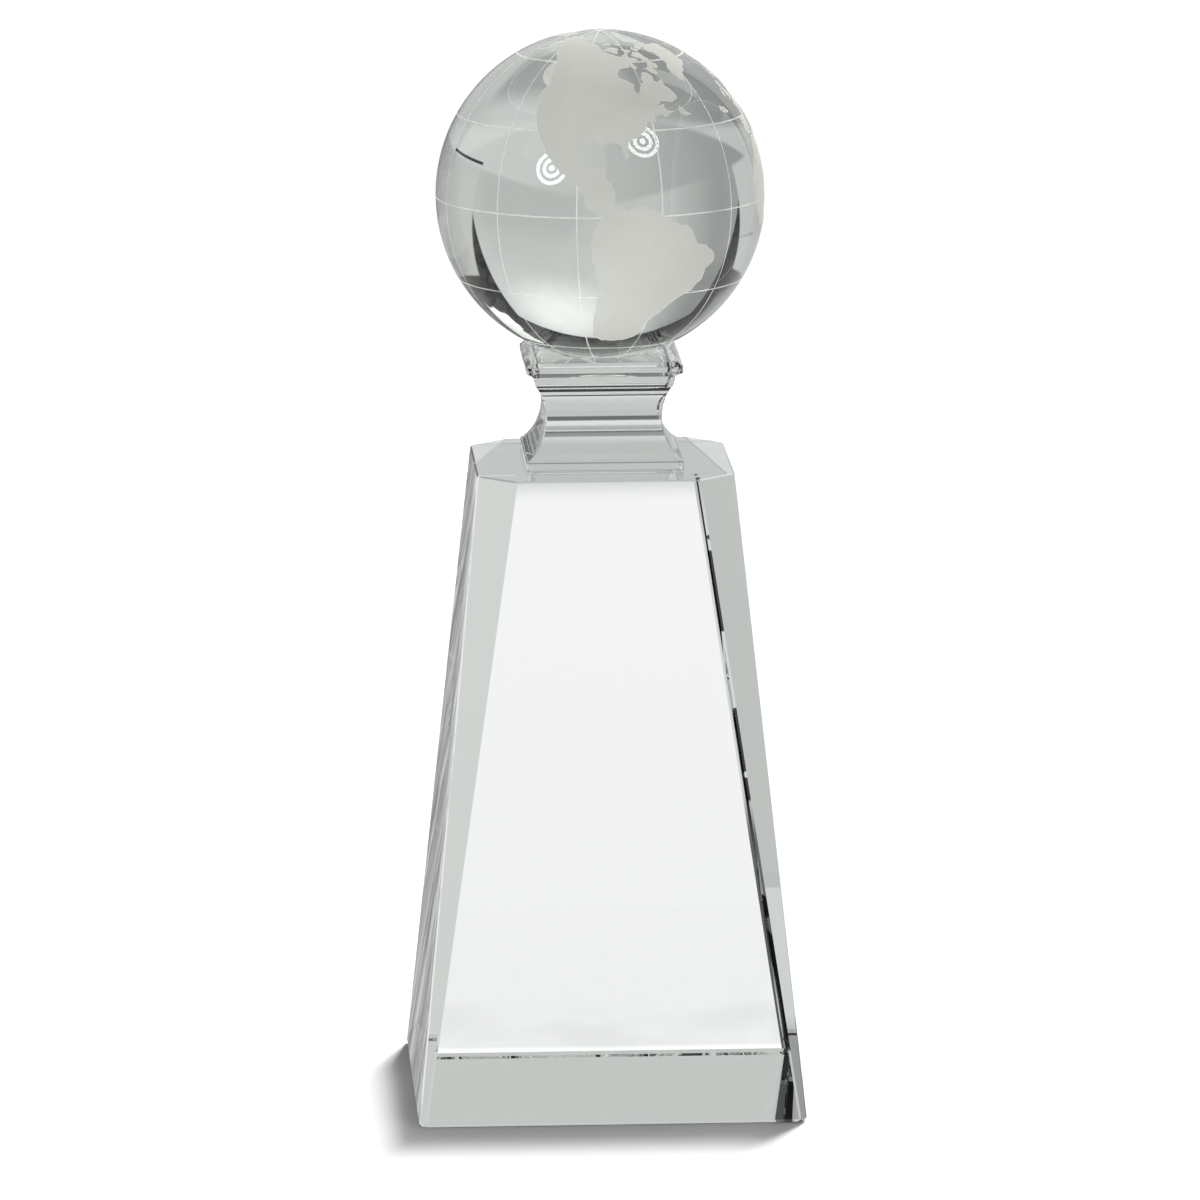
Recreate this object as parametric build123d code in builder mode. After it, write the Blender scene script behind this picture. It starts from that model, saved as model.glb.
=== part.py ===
from build123d import *
import math
import os

# Crystal globe award: a solid optical glass tower, a waisted square neck bonded to its
# top, and a solid glass globe bonded into a shallow dish in the neck.
# Origin: centre of the face that rests on the table. +Z up, front towards -Y. Millimetres.

# Tower: a four-sided obelisk whose corner facets widen upwards
foot_side = 94.2
shoulder_side = 62.3
tower_height = 155.6
foot_facet_leg = 1.6
shoulder_facet_leg = 9.1
foot_arris = 0.8
tower_arris = 0.35

# Neck: square in plan, the same moulding on all four sides
neck_height = 26.5
neck_half = 19.0
foot_plate_height = 2.5
cove_foot_half = 18.6
waist_half = 14.1
waist_height = 12.9
cove_top_half = 16.4
cove_top_height = 20.3
fillet_base_half = 16.6
fillet_top_half = 17.2
fillet_top_height = 22.9
collar_base_height = 24.1
collar_chamfer = 1.0
neck_arris = 0.25

# Globe: a full sphere that sits in the neck's dish
globe_diameter = 80.0
seat_depth = 1.4

# Cured clear adhesive: it stops just short of the visible edge of each joint
bond_thickness = 0.1
bond_setback = 0.3

# Places that follow from the sizes above
globe_radius = globe_diameter / 2
neck_base = tower_height + bond_thickness
neck_top = neck_base + neck_height
globe_centre = neck_top - seat_depth + globe_radius
seat_radius = globe_radius + bond_thickness
tower_taper = math.degrees(math.atan((foot_side - shoulder_side) / 2 / tower_height))
foot_reach = (foot_side - foot_facet_leg) / math.sqrt(2)
shoulder_reach = (shoulder_side - shoulder_facet_leg) / math.sqrt(2)
bond_angle = math.acos((globe_centre - neck_top + bond_setback) / seat_radius)

# The two vertical planes that the neck's moulding is drawn on
neck_front_plane = Plane(origin=(0, 0, neck_base), x_dir=(1, 0, 0), z_dir=(0, -1, 0))
neck_side_plane = Plane(origin=(0, 0, neck_base), x_dir=(0, 1, 0), z_dir=(1, 0, 0))

os.makedirs("parts", exist_ok=True)


def write_piece(builder, name):
    """Label a finished piece and write it as its own STEP file."""
    builder.part.label = name
    export_step(builder.part, f"parts/{name}.step")


def facet_plane(turn):
    """The plane of the tower's corner facet in the direction turn, in degrees."""
    across = math.cos(math.radians(turn))
    along = math.sin(math.radians(turn))
    return Plane(
        origin=(shoulder_reach * across, shoulder_reach * along, tower_height),
        z_dir=(tower_height * across, tower_height * along, foot_reach - shoulder_reach),
    )


def moulding_outline():
    """Draw the neck's moulding on one side, from the axis out and back to the axis."""
    foot_plate = Polyline(
        (0, 0),
        (neck_half - neck_arris, 0),
        (neck_half, neck_arris),
        (neck_half, foot_plate_height),
        (cove_foot_half, foot_plate_height),
    )
    cove = ThreePointArc(
        foot_plate @ 1,
        (waist_half, waist_height),
        (cove_top_half, cove_top_height),
    )
    Polyline(
        cove @ 1,
        (fillet_base_half, cove_top_height),
        (fillet_top_half, fillet_top_height),
        (neck_half, collar_base_height),
        (neck_half, neck_height - collar_chamfer),
        (neck_half - collar_chamfer, neck_height),
        (0, neck_height),
    )


def under_globe(radius, angle):
    """A point below the globe's centre, at the angle from straight down, on an XZ plane."""
    return radius * math.sin(angle), globe_centre - radius * math.cos(angle)


# Tower: the tapered square loses its four corners to facets that narrow almost to
# a point at the table, and every edge is polished to a fine arris
with BuildPart() as tower:
    with BuildSketch():
        Rectangle(foot_side, foot_side)
    extrude(amount=tower_height, taper=tower_taper)
    for turn in (45, 135, 225, 315):
        split(bisect_by=facet_plane(turn), keep=Keep.BOTTOM)
    foot_edges = tower.faces().sort_by(Axis.Z)[0].edges()
    chamfer(tower.edges() - foot_edges, length=tower_arris)
    foot_edges = tower.faces().sort_by(Axis.Z)[0].edges()
    chamfer(foot_edges, length=foot_arris)
write_piece(tower, "tower")

# Neck: the same moulding run along both directions, so that it mitres at the corners,
# with a shallow spherical dish ground into its top for the globe
with BuildPart() as neck:
    for plane, how in (
        (neck_front_plane, Mode.ADD),
        (neck_side_plane, Mode.INTERSECT),
    ):
        with BuildSketch(plane.offset(-neck_half)):
            with BuildLine():
                moulding_outline()
                mirror(about=Plane.YZ)
            make_face()
        extrude(amount=neck_half * 2, mode=how)
    with Locations((0, 0, globe_centre)):
        Sphere(seat_radius, mode=Mode.SUBTRACT)
write_piece(neck, "neck")

# Globe: solid glass, clear apart from its frosted map
with BuildPart() as globe:
    with Locations((0, 0, globe_centre)):
        Sphere(globe_radius)
write_piece(globe, "globe")

# Neck bond: a film of adhesive between the tower's flat top and the neck's foot
with BuildPart() as neck_bond:
    with BuildSketch(Plane.XY.offset(tower_height)):
        Rectangle(
            2 * (neck_half - neck_arris - bond_setback),
            2 * (neck_half - neck_arris - bond_setback),
        )
    extrude(amount=bond_thickness)
write_piece(neck_bond, "neck_bond")

# Globe bond: a film of adhesive that lines the dish under the globe
with BuildPart() as globe_bond:
    with BuildSketch(Plane.XZ):
        with BuildLine():
            dish_side = ThreePointArc(
                under_globe(seat_radius, 0),
                under_globe(seat_radius, bond_angle / 2),
                under_globe(seat_radius, bond_angle),
            )
            bond_edge = Line(dish_side @ 1, under_globe(globe_radius, bond_angle))
            globe_side = ThreePointArc(
                bond_edge @ 1,
                under_globe(globe_radius, bond_angle / 2),
                under_globe(globe_radius, 0),
            )
            Line(globe_side @ 1, dish_side @ 0)
        make_face()
    revolve(axis=Axis.Z)
write_piece(globe_bond, "globe_bond")
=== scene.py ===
import math
from itertools import product

import bmesh
import bpy
from mathutils import Matrix, Vector
from mathutils.geometry import delaunay_2d_cdt


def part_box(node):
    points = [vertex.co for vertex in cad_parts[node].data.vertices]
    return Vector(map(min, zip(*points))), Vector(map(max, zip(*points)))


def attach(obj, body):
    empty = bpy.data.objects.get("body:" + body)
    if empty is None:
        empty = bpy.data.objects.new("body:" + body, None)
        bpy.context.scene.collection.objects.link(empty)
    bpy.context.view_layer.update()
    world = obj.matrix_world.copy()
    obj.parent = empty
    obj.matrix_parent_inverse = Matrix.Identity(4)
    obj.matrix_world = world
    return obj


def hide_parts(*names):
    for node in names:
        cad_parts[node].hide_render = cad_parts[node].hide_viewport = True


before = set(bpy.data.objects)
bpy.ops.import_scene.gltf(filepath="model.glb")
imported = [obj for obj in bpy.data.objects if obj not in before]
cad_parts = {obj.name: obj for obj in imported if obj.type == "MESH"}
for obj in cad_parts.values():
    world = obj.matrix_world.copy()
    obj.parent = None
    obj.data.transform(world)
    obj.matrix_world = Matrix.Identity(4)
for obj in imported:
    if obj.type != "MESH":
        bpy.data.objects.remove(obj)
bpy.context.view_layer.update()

MM = 0.001

# ---- places, from the frame
tower_low, tower_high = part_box("tower")
neck_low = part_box("neck")[0]
globe_low, globe_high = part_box("globe")
film_low, film_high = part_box("neck_bond")
cup_low, cup_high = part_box("globe_bond")

GLOBE_RADIUS = (globe_high.z - globe_low.z) / 2
GLOBE_CENTRE = Vector((0, 0, (globe_high.z + globe_low.z) / 2))
SEAT_RADIUS = GLOBE_CENTRE.z - cup_low.z
JOINT_SLACK = 0.05 * MM

# ---- optics and finish
GLASS_IOR = 1.52
ABSORPTION = (1.15, 0.95, 1.1)  # per metre of glass, red, green, blue
SMUDGE = 0.012  # roughness of the faint smudges on the polish
WAVINESS = 0.006  # strength of the waves that polishing leaves
PIT_DEPTH = 0.2 * MM  # reach of the bump that stands for sandblasted pits
SCATTER_GLOW = 0.65  # share of white that frosted glass gives off as a painted glow, standing in for light it scatters back from within
GRATICULE_STEP = 30  # degrees between engraved lines
GRATICULE_TURN = 19  # one meridian lies this far right of the front, in degrees
LINE_WIDTH = 0.30 * MM  # engraved line on the globe
LINE_DEPTH = 0.015 * MM
ETCH_DEPTH = 0.18 * MM  # frosted land lies this far below the polished sea
SHADOW_LOW = 4 * MM  # the shadow on the table fades out between these heights
SHADOW_HIGH = 26 * MM
SHADOW_LIGHT = (0.05, 0.97)  # light let through at the lower and the upper of them

# The tower's upright arrises: distance from the middle plane at its foot and at its shoulder
FOOT_EDGE = 45.5 * MM
SHOULDER_EDGE = 22.05 * MM
# colour of the painted glint that glows along the tower's left upright edge
EDGE_GLINT = (0.86, 0.88, 0.86, 1)
# Painted shade on the neck, dark lines that stand in for shade seen in the glass, in millimetres: height
# above its foot, half width, light let through
NECK_SHADE_LINES = (
    (0.3, 0.10, 0.70), (2.2, 0.12, 0.55), (19.5, 0.30, 0.08), (24, 0.12, 0.65), (25.5, 0.12, 0.82),
)
LIP_MIDDLE = 24.2  # the collar of the neck, where painted shade lies as dark mottles at its corners, in millimetres above its foot
LIP_HALF = 1.7

# Frosted map: how it leans and turns on the globe, in degrees
MAP_LEAN = 12.6
MAP_TIP = 4.7
MAP_TURN = -7.1


# ---- node helpers
class Graph:
    """A short way to write shader node graphs: values go in as numbers, tuples or sockets."""

    def __init__(self, tree):
        self.tree = tree
        tree.nodes.clear()

    def feed(self, socket, value):
        if isinstance(value, bpy.types.NodeSocket):
            self.tree.links.new(value, socket)
        else:
            socket.default_value = value

    def node(self, kind, *values, **settings):
        """A new node, with its first inputs filled in order."""
        made = self.tree.nodes.new(kind)
        for name, value in settings.items():
            setattr(made, name, value)
        for socket, value in zip(made.inputs, values):
            self.feed(socket, value)
        return made

    def filled(self, kind, inputs, **settings):
        """The output of a new node whose named inputs are filled."""
        made = self.node(kind, **settings)
        for name, value in inputs.items():
            self.feed(made.inputs[name], value)
        return made.outputs[0]

    def geometry(self, name):
        return self.node("ShaderNodeNewGeometry").outputs[name]

    def path(self, name):
        return self.node("ShaderNodeLightPath").outputs[name]

    def math(self, operation, *values):
        return self.node("ShaderNodeMath", *values, operation=operation).outputs[0]

    def vector(self, operation, *values):
        made = self.node("ShaderNodeVectorMath", *values, operation=operation)
        scalar = operation in ("DISTANCE", "DOT_PRODUCT")
        return made.outputs[1] if scalar else made.outputs[0]

    def times(self, *values):
        """The product. With masks, it is 1 where all of them are 1."""
        total = values[0]
        for value in values[1:]:
            total = self.math("MULTIPLY", total, value)
        return total

    def plus(self, a, b):
        return self.math("ADD", a, b)

    def minus(self, a, b):
        return self.math("SUBTRACT", a, b)

    def size(self, value):
        return self.math("ABSOLUTE", value)

    def split(self, vector):
        return self.node("ShaderNodeSeparateXYZ", vector).outputs

    def triple(self, value):
        return self.node("ShaderNodeCombineXYZ", value, value, value).outputs[0]

    def rgb(self, red, green, blue):
        return self.node("ShaderNodeCombineColor", red, green, blue).outputs[0]

    def grey(self, value):
        return self.rgb(value, value, value)

    def dimmed(self, colour, level):
        return self.vector("MULTIPLY", colour, (level, level, level))

    def ramp(self, value, low, high, to_low=0, to_high=1, kind="SMOOTHSTEP"):
        made = self.node("ShaderNodeMapRange", value, low, high, to_low, to_high, interpolation_type=kind)
        return made.outputs[0]

    def blend(self, share, first, second):
        made = self.node("ShaderNodeMix", share, data_type="RGBA")
        self.feed(made.inputs[6], first)
        self.feed(made.inputs[7], second)
        return made.outputs[2]

    def mix(self, share, first, second):
        return self.node("ShaderNodeMixShader", share, first, second).outputs[0]

    def noise(self, vector, scale, detail=2, roughness=0.5):
        inputs = {"Vector": vector, "Scale": scale, "Detail": detail, "Roughness": roughness}
        return self.filled("ShaderNodeTexNoise", inputs)

    def bump(self, height, strength, distance):
        return self.filled("ShaderNodeBump", {"Height": height, "Strength": strength, "Distance": distance})

    def emission(self, colour, strength=1):
        return self.node("ShaderNodeEmission", colour, strength).outputs[0]

    def clear(self, colour=(1, 1, 1, 1)):
        return self.node("ShaderNodeBsdfTransparent", colour).outputs[0]

    def glass(self, roughness, normal, tint):
        inputs = {"Color": tint, "Roughness": roughness, "IOR": GLASS_IOR, "Normal": normal}
        return self.filled("ShaderNodeBsdfGlass", inputs, distribution="MULTI_GGX")

    def finish(self, shader, kind="ShaderNodeOutputMaterial"):
        self.feed(self.node(kind).inputs[0], shader)


def new_material(name):
    material = bpy.data.materials.new(name)
    material.use_nodes = True
    return material, Graph(material.node_tree)


# ---- glass materials
def glass_tint(g):
    """Colour left after the ray's path inside the glass: it is only taken where a ray leaves."""
    length = g.path("Ray Length")
    inside = g.geometry("Backfacing")
    return g.rgb(*(g.math("EXPONENT", g.times(length, inside, -rate)) for rate in ABSORPTION))


def joint_mask(g):
    """1 on the glass faces that the adhesive wets, where light goes straight through."""
    position = g.geometry("Position")
    x, y, z = g.split(position)
    in_film = g.math("LESS_THAN", g.math("MAXIMUM", g.size(x), g.size(y)), film_high.x + JOINT_SLACK / 5)
    thick = (film_high.z - film_low.z) / 2 + JOINT_SLACK
    near_film = g.math("COMPARE", z, (film_low.z + film_high.z) / 2, thick)
    from_centre = g.vector("DISTANCE", position, tuple(GLOBE_CENTRE))
    near_ball = g.math("COMPARE", from_centre, GLOBE_RADIUS, SEAT_RADIUS - GLOBE_RADIUS + JOINT_SLACK)
    below_rim = g.math("LESS_THAN", z, cup_high.z + JOINT_SLACK / 5)
    return g.math("MAXIMUM", g.times(in_film, near_film), g.times(near_ball, below_rim))


def finish_glass(g, shader):
    """Clears the joints, and lets light pass on to the table: least of it close to the foot."""
    shader = g.mix(joint_mask(g), shader, g.clear())
    carries_light = g.math("MAXIMUM", g.path("Is Shadow Ray"), g.path("Is Diffuse Ray"))
    height = g.split(g.geometry("Position"))[2]
    passed = g.clear(g.grey(g.ramp(height, SHADOW_LOW, SHADOW_HIGH, *SHADOW_LIGHT)))
    g.finish(g.mix(carries_light, shader, passed))


def neck_shade_lines(g, position):
    """Light left by the painted shade on the neck's moulding: fine dark lines, and dark mottles at the
    corners of its collar.
    """
    x, y, z = g.split(position)
    left = 1
    for at, half, share in NECK_SHADE_LINES:
        off = g.size(g.minus(z, neck_low.z + at * MM))
        left = g.times(left, g.ramp(off, half * MM, 1.5 * half * MM, share, 1))
    corner = g.ramp(g.math("MINIMUM", g.size(x), g.size(y)), 15.2 * MM, 16.6 * MM)
    lip = g.math("COMPARE", z, neck_low.z + LIP_MIDDLE * MM, LIP_HALF * MM)
    # painted shade: dark mottles at the corners of the collar
    dark_mottles = g.ramp(g.noise(position, 900), 0.52, 0.60)
    left = g.times(left, g.ramp(g.times(corner, lip, dark_mottles), 0, 1, 1, 0.15))
    return g.grey(left)


def arris_glint_and_shade(g, position):
    """Painted shade and a painted glint along two upright edges of the tower: light let through past a
    broken dark line on the right edge, and share of the glowing bright left edge.
    """
    x, y, z = g.split(position)
    edge = g.ramp(z, 0, tower_high.z, FOOT_EDGE, SHOULDER_EDGE, kind="LINEAR")
    run = g.noise(g.vector("MULTIPLY", position, (40, 40, 55)), 1, 3, 0.7)
    wide = g.size(x)
    deep = g.size(y)
    off = g.minus(g.times(y, -1), edge)
    bright = g.times(
        g.math("LESS_THAN", x, 0), g.math("GREATER_THAN", wide, deep),
        g.ramp(off, -0.3 * MM, -0.2 * MM), g.ramp(off, 0.5 * MM, 0.35 * MM),
        g.ramp(run, 0.36, 0.46, 0.35, 1),
    )
    off = g.minus(x, edge)
    dark = g.times(
        g.math("LESS_THAN", y, 0), g.math("GREATER_THAN", deep, wide),
        g.ramp(off, -0.9 * MM, -0.7 * MM), g.ramp(off, 0.3 * MM, 0.2 * MM), g.ramp(run, 0.50, 0.53),
    )
    return g.grey(g.ramp(dark, 0, 1, 1, 0.08)), bright


def crystal(name, lined=False, edged=False):
    """Polished optical glass: faint smudges in the gloss and a trace of polishing waviness."""
    material, g = new_material(name)
    position = g.geometry("Position")
    smudge_and_shadow = g.ramp(g.noise(position, 45, 4, 0.6), 0.5, 0.8, 0, SMUDGE)
    normal = g.bump(g.noise(position, 30, 1), WAVINESS, 2 * MM)
    tint = glass_tint(g)
    if lined:
        # painted shade: dark lines and corner mottles darken the neck's glass
        tint = g.vector("MULTIPLY", tint, neck_shade_lines(g, position))
    if edged:
        # painted shade and painted glint along the tower's upright edges
        left, bright = arris_glint_and_shade(g, position)
        tint = g.vector("MULTIPLY", tint, left)
    glass = g.glass(smudge_and_shadow, normal, tint)
    if edged:
        # painted glint: a glowing bright line on the left upright edge
        glass = g.mix(g.times(bright, 0.8), glass, g.emission(EDGE_GLINT))
    finish_glass(g, glass)
    return material


def frosted(name, grain, whiteness, roughness, colour, from_inside):
    """Sandblasted glass: a matt, finely pitted surface that scatters and still passes light, with a painted
    glow in its white.

    from_inside is the share of its white that shows from within the glass. Where that is none,
    as in the engraved lines, the surface is smooth from within and worn in places.
    """
    material, g = new_material(name)
    position = g.geometry("Position")
    inside = g.geometry("Backfacing")
    normal = g.bump(g.noise(position, grain, 3, 0.7), 0.3, PIT_DEPTH)
    shade = g.ramp(g.noise(position, 60, 3, 0.6), 0.3, 0.7, 0.92, 1)
    smooth, worn = normal, 1
    if from_inside == 0:
        roughness = g.ramp(inside, 0, 1, roughness, 0)
        smooth = g.vector("NORMALIZE", g.vector("SUBTRACT", position, tuple(GLOBE_CENTRE)))
        towards = g.minus(1, g.times(inside, 2))
        smooth = g.vector("MULTIPLY", smooth, g.triple(towards))
        worn = g.ramp(g.noise(position, 90), 0.35, 0.6, 0.45, 1)
    glass = g.glass(roughness, smooth, g.blend(0.5, (1, 1, 1, 1), glass_tint(g)))
    white = g.rgb(*(g.times(shade, level) for level in colour))
    matt = g.filled("ShaderNodeBsdfDiffuse", {"Color": white, "Normal": normal})
    # painted glow: the white shines by itself, standing in for light scattered in the frosting
    matt = g.node("ShaderNodeAddShader", matt, g.emission(white, SCATTER_GLOW)).outputs[0]
    share = g.times(whiteness, worn, g.ramp(inside, 0, 1, 1, from_inside))
    finish_glass(g, g.mix(share, glass, matt))
    return material


def adhesive(name):
    """Cured clear adhesive: wetted faces vanish, and only the thin rim of the film shows."""
    material, g = new_material(name)
    ripple = g.noise(g.geometry("Position"), 400)
    glass = g.glass(g.ramp(ripple, 0.3, 0.8, 0, 0.08), g.bump(ripple, 0.1, 0.3 * MM), (1, 1, 1, 1))
    g.finish(g.mix(joint_mask(g), glass, g.clear()))
    return material


CRYSTAL = crystal("crystal")
MOULDED = crystal("crystal_moulded", lined=True)
FACETED = crystal("crystal_faceted", edged=True)
FROSTED = frosted("frosted_map", 5200, 0.72, 0.5, (0.42, 0.43, 0.39), 0.9)
ENGRAVED = frosted("engraved_line", 4000, 0.7, 0.35, (0.62, 0.63, 0.60), 0)
ADHESIVE = adhesive("clear_adhesive")


# ---- shared mesh helper
def new_piece(name, mesh, node):
    """A piece that stands for a CAD node and moves with the object's one body."""
    piece = bpy.data.objects.new(name, mesh)
    bpy.context.scene.collection.objects.link(piece)
    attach(piece, "root")
    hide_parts(node)
    return piece


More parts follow.
